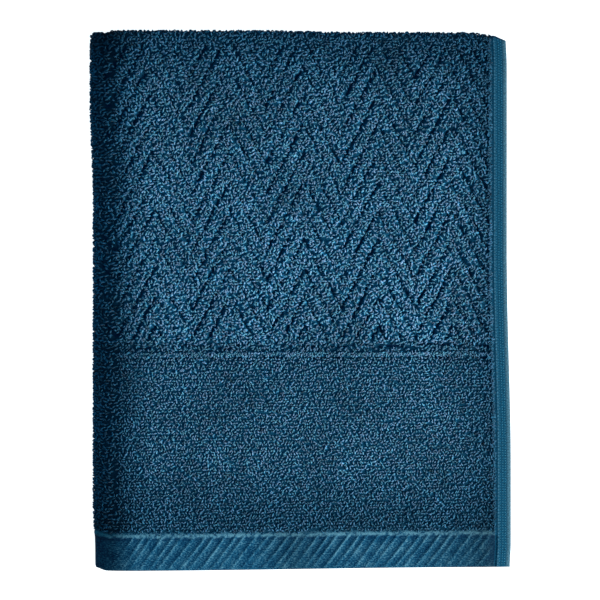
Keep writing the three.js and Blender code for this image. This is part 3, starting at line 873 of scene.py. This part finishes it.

# Painted light and shade: share of light that the cloth gives back at a place, compared with its middle. It
# is darker as painted shade in the left fold, at the top fold, beside the side hem and just above the end
# hem. It is lighter on the border's ridge and over the field, and darker in the border's trough. The end
# hem's goes by lengths across, darker as painted shade beside the side hem and in the left fold, with darker
# and lighter stretches between; the rest goes by lengths across and along
PAINTED_SHADING_OF_HEM = [
    (15, 0.5),
    (24, 0.5),
    (32, 0.6),
    (45, 0.72),
    (70, 0.85),
    (95, 1),
    (160, 1),
    (198, 0.7),
    (236, 1.1),
    (342, 1.05),
    (362, 0.5),
]
PAINTED_SHADING_ACROSS = [
    (14, 0.42),
    (17, 0.48),
    (20, 0.62),
    (30, 0.76),
    (52, 0.94),
    (75, 1),
    (328, 1),
    (338, 0.8),
    (347, 0.67),
    (351, 0.62),
    (357, 0.43),
    (364, 0.37),
    (372, 0.42),
]
PAINTED_SHADING_ALONG = [
    (34, 0.62),
    (51, 0.68),
    (74, 0.86),
    (97, 1.01),
    (193, 1),
    (195, 1.05),
    (198.5, 1.05),
    (200.5, 0.92),
    (207, 0.92),
    (211, 1.22),
    (300, 1.2),
    (400, 1.06),
    (440, 0.94),
    (461, 0.8),
    (484, 0.62),
    (494, 0.36),
]

# Looped pile: how much the brightness varies from loop to loop, and with noises of three sizes, each with
# its scale, detail and weight
LOOP_VARIETY = 0.2
PILE_NOISES = [(30.0, 2.0, 0.3), (170.0, 1.0, 0.8), (16.0, 1.0, 0.85)]
PALE_NOISE = (210.0, 0.0)
PALE_RANGE = (0.38, 0.62)
SHADE_TONES = (1.06, 0.55)
# Painted shade and highlight: a loop is darker at its foot and lighter at its tip, by a power of the place on
# the arch and two brightness levels
TIP_SHADING_POWER = 0.45
TIP_SHADING_LEVELS = (0.095, 0.19)
# Painted highlight: tips turn paler where the painted shading is lighter, by a power of the place on the
# arch, two levels of the shading and two shares
HIGHLIGHT_POWER = 2.0
HIGHLIGHT_TONES = (0.3, 1.1)
HIGHLIGHT_SHARES = (0.3, 1.05)

# Woven ground: its thread and patch noise, and what they do to the hems: painted highlights on the puckers'
# crests, painted shadow lines beside them, painted shade in the corner gap, and painted shade on the ground
# between the loops
WEAVE_SCALE = (560.0, 880.0, 1.0)
WEAVE_DETAIL = 2.0
WEAVE_SHARE = 0.7
PATCH_NOISE = (90.0, 3.0)
PALE_STEPS = (0.36, 0.49, 0.65)
CREST_HIGHLIGHT = (0.3, 0.1)
# Painted shade: the ground between the loops, by the weave's level
FLOOR_RANGE = (0.3, 0.7)
SHADED_FLOOR_LEVELS = (0.035, 0.07)
CREST_REACH = 1.9
CREST_SHADOW_OFFSET = -0.11
CREST_SHADOW_SHARE = 0.5
CORNER_SHADE_SHARE = 0.6

# Seam: its lumps, and the painted shade below it
LUMP_NOISE = (260.0, 1.0)
LUMP_SWAY = 4.0
LUMP_RANGE = (0.36, 0.6)
LUMP_LEVELS = (0.1, 1.7)
SEAM_LINE = (SEAM_ALONG + 0.5, 2.8)
SHADE_BELOW_SEAM = (SEAM_ALONG - 3.4, 2.6)
SHADE_BELOW_SEAM_LEVEL = 0.8
SHADE_BELOW_SEAM_CRESTS = 1.5

# Side hem: each line's middle, and how far it reaches to both sides. The crease and the foot are painted
# shade
SIDE_DOTS = (6.4, 6.0)
SIDE_DOT_PITCH = (2.3, 2.4)
SIDE_RIM = (1.0, 3.4)
SIDE_RIM_LEVEL = 1.4
SIDE_CREASE = (8.6, 1.6)
SIDE_STITCHES = (11.3, 0.9)
SIDE_STITCH_PITCH = 3.1
SIDE_STITCH_LEVEL = 1.2
SIDE_FOOT = (13.2, 1.3)
SIDE_END = 14.5
SIDE_WEAVE_RANGE = (0.3, 0.7)
SIDE_WEAVE_LEVELS = (0.55, 1.45)

# Bump of the ground: shares of its parts, strength, and depth in metres
BUMP_OF_WEAVE = 0.6
BUMP_OF_DOTS = 0.4
BUMP_OF_CRESTS = 0.65
BUMP_STRENGTH = 0.9
BUMP_DISTANCE = 0.0009

# Surfaces
PILE_SURFACE = {"Roughness": 0.9, "Specular IOR Level": 0.06, "Sheen Weight": 0.03}
GROUND_SURFACE = {"Roughness": 0.85, "Specular IOR Level": 0.05}


# Painted light and shade of a place, from the tables above
def painted_shading_of_place(nodes, across, along):
    return nodes.math("MULTIPLY", nodes.table(across, PAINTED_SHADING_ACROSS), nodes.table(along, PAINTED_SHADING_ALONG))


def pile_material():
    nodes = Nodes("looped_pile")
    cloth, across, along = nodes.place()
    level = nodes.math("ADD", 1.0, nodes.math("MULTIPLY", nodes.value("tone"), LOOP_VARIETY))
    for scale, detail, weight in PILE_NOISES:
        level = nodes.math("ADD", level, nodes.about(nodes.noise(cloth, scale, detail), 0.5, weight))
    shade = nodes.between(nodes.value("shade"), 0, 1, *SHADE_TONES)
    # Painted light and shade of the place, times the painted shade near the partings
    painted_shading = nodes.math("MULTIPLY", painted_shading_of_place(nodes, across, along), shade)
    level = nodes.math("MULTIPLY", level, painted_shading)
    # Painted shade at the loops' feet and painted light at their tips
    tip = nodes.value("tip")
    rise = nodes.between(nodes.math("POWER", tip, TIP_SHADING_POWER), 0, 1, *TIP_SHADING_LEVELS)
    level = nodes.math("MULTIPLY", level, rise)
    # Painted highlight: paler tips where the painted shading is light
    highlight_share = nodes.between(painted_shading, *HIGHLIGHT_TONES, *HIGHLIGHT_SHARES)
    pale_and_highlight = nodes.math("MULTIPLY", nodes.math("POWER", tip, HIGHLIGHT_POWER), highlight_share)
    paler = nodes.between(nodes.noise(cloth, *PALE_NOISE), *PALE_RANGE, 0, 1)
    highlight_colour = blend(nodes, paler, YARN_HIGHLIGHT, YARN_HIGHLIGHT_PALE)
    yarn = blend(nodes, pale_and_highlight, YARN_SHADED_FOOT, highlight_colour)
    nodes.link(nodes.tint(yarn, level), "Base Color")
    nodes.set_surface(PILE_SURFACE)
    return nodes.material


def near(nodes, value, centre, width):
    """1 at the centre, falling to 0 at the given distance from it."""
    distance = nodes.math("ABSOLUTE", nodes.math("SUBTRACT", value, centre))
    share = nodes.math("SUBTRACT", 1.0, nodes.math("DIVIDE", distance, width))
    return nodes.math("MAXIMUM", share, 0.0)


def crest(nodes, phase, offset, share):
    """Sharp crest of the given height at every whole number of the phase after the offset."""
    turn = nodes.math("FRACT", nodes.math("ADD", nodes.math("SUBTRACT", phase, offset), 0.5))
    return nodes.math("MULTIPLY", near(nodes, turn, 0.5, CREST_REACH * PUCKER_WIDTH), share)


def wave(nodes, value, length):
    """Sine of a length in mm, from -1 to 1."""
    return nodes.math("SINE", nodes.math("MULTIPLY", value, 2 * math.pi / length))


def half_wave(nodes, value, length):
    return nodes.math("MAXIMUM", wave(nodes, value, length), 0.0)


def blend(nodes, share, first, second):
    node = nodes.add("ShaderNodeMix", data_type="RGBA")
    node.inputs[0].default_value = 0
    nodes.tree.links.new(share, node.inputs[0])
    for socket, colour in ((6, first), (7, second)):
        if isinstance(colour, tuple):
            node.inputs[socket].default_value = (*colour, 1)
        else:
            nodes.tree.links.new(colour, node.inputs[socket])
    return node.outputs[2]


def highest_crest(nodes, shift):
    """Crests of the three puckers of each group, moved by a share of the group."""
    phase = nodes.value("pucker_phase")
    crests = [crest(nodes, phase, offset + shift, share) for offset, share in PUCKER_CRESTS]
    highest = nodes.math("MAXIMUM", crests[0], nodes.math("MAXIMUM", crests[1], crests[2]))
    return nodes.math("MULTIPLY", highest, nodes.value("pucker_share"))


def end_hem_colour(nodes, level, crests):
    """Threads paler on the puckers' crests as a painted highlight, painted shadow lines beside the crests,
    painted shade below the seam and in the corner gap, the lumpy seam above, and painted light and shade
    across the hem.
    """
    cloth, across, along = nodes.place()
    first, middle, last = PALE_STEPS
    # Painted highlight: the threads are paler on the puckers' crests
    pale_and_highlight = nodes.math("ADD", level, nodes.about(crests, *CREST_HIGHLIGHT))
    hem = blend(nodes, nodes.between(pale_and_highlight, first, middle, 0, 1), WOVEN_DEEP_AND_SHADE, WOVEN)
    hem = blend(nodes, nodes.between(pale_and_highlight, middle, last, 0, 1), hem, WOVEN_PALE_AND_LIT)

    # Painted shade below the seam, between the crests
    shade_below_seam = nodes.math("SUBTRACT", SHADE_BELOW_SEAM_LEVEL, nodes.math("MULTIPLY", crests, SHADE_BELOW_SEAM_CRESTS))
    shade_below_seam = nodes.math("MAXIMUM", shade_below_seam, 0.0)
    shade_below_seam = nodes.math("MULTIPLY", near(nodes, along, *SHADE_BELOW_SEAM), shade_below_seam)
    # Painted shadow lines beside the puckers' crests
    crest_shadows = nodes.math("MULTIPLY", highest_crest(nodes, CREST_SHADOW_OFFSET), CREST_SHADOW_SHARE)
    crest_shadows = nodes.math("MAXIMUM", crest_shadows, shade_below_seam)
    hem = blend(nodes, nodes.math("MINIMUM", crest_shadows, 1.0), hem, WOVEN_DEEP_AND_SHADE)

    lumps = nodes.noise(cloth, *LUMP_NOISE)
    seam_along = nodes.math("ADD", along, nodes.about(lumps, 0.5, LUMP_SWAY))
    seam = nodes.between(lumps, *LUMP_RANGE, *LUMP_LEVELS)
    seam = nodes.math("MULTIPLY", near(nodes, seam_along, *SEAM_LINE), seam)
    hem = blend(nodes, nodes.math("MINIMUM", seam, 1.0), hem, SEAM_THREAD)
    # Painted shade in the corner gap, and painted light and shade across the hem
    corner = nodes.math("MULTIPLY", nodes.value("corner_gap"), CORNER_SHADE_SHARE)
    return nodes.tint(blend(nodes, corner, hem, WOVEN_DEEP_AND_SHADE), nodes.table(across, PAINTED_SHADING_OF_HEM))


def side_hem_colour(nodes, weave, dots):
    """Side hem, from its rim inwards: dotted weave, painted shade in a crease, a row of stitches and painted
    shade at the foot.
    """
    _, across, along = nodes.place()
    side = blend(nodes, dots, SIDE_DEEP, SIDE_THREAD)
    rim = nodes.math("MULTIPLY", near(nodes, across, *SIDE_RIM), SIDE_RIM_LEVEL)
    side = blend(nodes, nodes.math("MINIMUM", rim, 1.0), side, SIDE_EDGE)
    # Painted shade in the crease
    crease = nodes.math("MULTIPLY", near(nodes, across, *SIDE_CREASE), weave)
    side = blend(nodes, crease, side, SIDE_GROOVE_SHADE)
    stitch = nodes.math("ADD", wave(nodes, along, SIDE_STITCH_PITCH), SIDE_STITCH_LEVEL)
    stitch = nodes.math("MULTIPLY", near(nodes, across, *SIDE_STITCHES), stitch)
    side = blend(nodes, nodes.math("MINIMUM", stitch, 1.0), side, SIDE_STITCH)
    # Painted shade at the foot, beside the pile
    side = blend(nodes, near(nodes, across, *SIDE_FOOT), side, SIDE_GROOVE_SHADE)
    return nodes.tint(side, nodes.between(weave, *SIDE_WEAVE_RANGE, *SIDE_WEAVE_LEVELS))


def ground_material():
    nodes = Nodes("woven_ground")
    cloth, across, along = nodes.place()
    stretched = nodes.add("ShaderNodeVectorMath", {0: cloth, 1: WEAVE_SCALE}, operation="MULTIPLY").outputs[0]
    weave = nodes.noise(stretched, 1.0, WEAVE_DETAIL)
    patches = nodes.math("MULTIPLY", nodes.noise(cloth, *PATCH_NOISE), 1 - WEAVE_SHARE)
    level = nodes.math("ADD", nodes.math("MULTIPLY", weave, WEAVE_SHARE), patches)
    crests = highest_crest(nodes, 0)
    dots = [half_wave(nodes, value, pitch) for value, pitch in zip((across, along), SIDE_DOT_PITCH)]
    dots = nodes.math("MULTIPLY", nodes.math("MULTIPLY", *dots), near(nodes, across, *SIDE_DOTS))
    on_side = nodes.math("LESS_THAN", across, SIDE_END)
    hem = blend(nodes, on_side, end_hem_colour(nodes, level, crests), side_hem_colour(nodes, weave, dots))

    # Painted shade: the ground between the loops is dark, and darker in the partings
    tone = nodes.between(level, *FLOOR_RANGE, *SHADED_FLOOR_LEVELS)
    floor = nodes.tint(YARN_SHADED_FOOT, nodes.math("MULTIPLY", painted_shading_of_place(nodes, across, along), tone))
    floor = blend(nodes, nodes.value("parting"), floor, PARTED_SHADE)
    nodes.link(blend(nodes, nodes.value("pile"), hem, floor), "Base Color")

    height = 0.0
    for part, share in ((weave, BUMP_OF_WEAVE), (dots, BUMP_OF_DOTS), (crests, BUMP_OF_CRESTS)):
        height = nodes.math("ADD", height, nodes.math("MULTIPLY", part, share))
    inputs = {"Height": height, "Strength": BUMP_STRENGTH, "Distance": BUMP_DISTANCE}
    nodes.link(nodes.add("ShaderNodeBump", inputs).outputs["Normal"], "Normal")
    nodes.set_surface(GROUND_SURFACE)
    return nodes.material


# Stage, light and camera. A light has its azimuth and elevation in degrees, its distance and size in
# metres, and its power in watts.
LIGHTS = {"key": (-24, 24, 2.4, 0.8, 131), "fill": (-30, 40, 2.4, 1.4, 30)}
LIGHT_TARGET = (0, 0, 0.02)
SKY_COLOUR = (0.06, 0.62, 1, 1)
SKY_STRENGTH = 0.76
FLOOR_SIZE = 8
FLOOR_SURFACE = {
    "Base Color": (0.4, 0.4, 0.4, 1),
    "Roughness": 0.9,
    "Emission Color": (1, 1, 1, 1),
    "Emission Strength": 1.0,
}


def make_floor():
    bpy.ops.mesh.primitive_plane_add(size=FLOOR_SIZE)
    floor = bpy.context.object
    floor.name = "floor"
    nodes = Nodes("pale_floor")
    nodes.set_surface(FLOOR_SURFACE)
    floor.data.materials.append(nodes.material)
    floor.visible_diffuse = False
    return floor


def aim(thing, target):
    direction = Vector(target) - thing.location
    thing.rotation_euler = direction.to_track_quat("-Z", "Y").to_euler()


def make_light(name, azimuth, elevation, distance, size, power):
    data = bpy.data.lights.new(name, "AREA")
    data.size = size
    data.energy = power
    light = bpy.data.objects.new(name, data)
    bpy.context.scene.collection.objects.link(light)
    azimuth, elevation = math.radians(azimuth), math.radians(elevation)
    flat = distance * math.cos(elevation)
    light.location = (flat * math.cos(azimuth), flat * math.sin(azimuth), distance * math.sin(elevation))
    aim(light, LIGHT_TARGET)


def make_camera():
    data = bpy.data.cameras.new("camera")
    camera = bpy.data.objects.new("camera", data)
    bpy.context.scene.collection.objects.link(camera)
    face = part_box(NODE)[1].z
    view = PHOTO_SIZE * PHOTO_MM_PER_PIXEL * MM
    data.sensor_width = SENSOR
    data.lens = SENSOR * (CAMERA_HEIGHT - face) / view
    camera.location = (PHOTO_CENTRE[0] * MM, PHOTO_CENTRE[1] * MM, CAMERA_HEIGHT)
    bpy.context.scene.camera = camera


def light_scene():
    for name, settings in LIGHTS.items():
        make_light(name, *settings)
    world = bpy.data.worlds.new("world")
    bpy.context.scene.world = world
    world.use_nodes = True
    background = world.node_tree.nodes["Background"]
    background.inputs["Color"].default_value = SKY_COLOUR
    background.inputs["Strength"].default_value = SKY_STRENGTH
    bpy.context.scene.view_settings.view_transform = "Standard"


make_camera()
light_scene()
floor = make_floor()
cloth = make_cloth()
pile = make_pile()
cloth.data.materials.append(ground_material())
looped = pile_material()
for piece in pile:
    piece.data.materials.append(looped)
for piece in [cloth, *pile]:
    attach(piece, "root")
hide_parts(NODE)
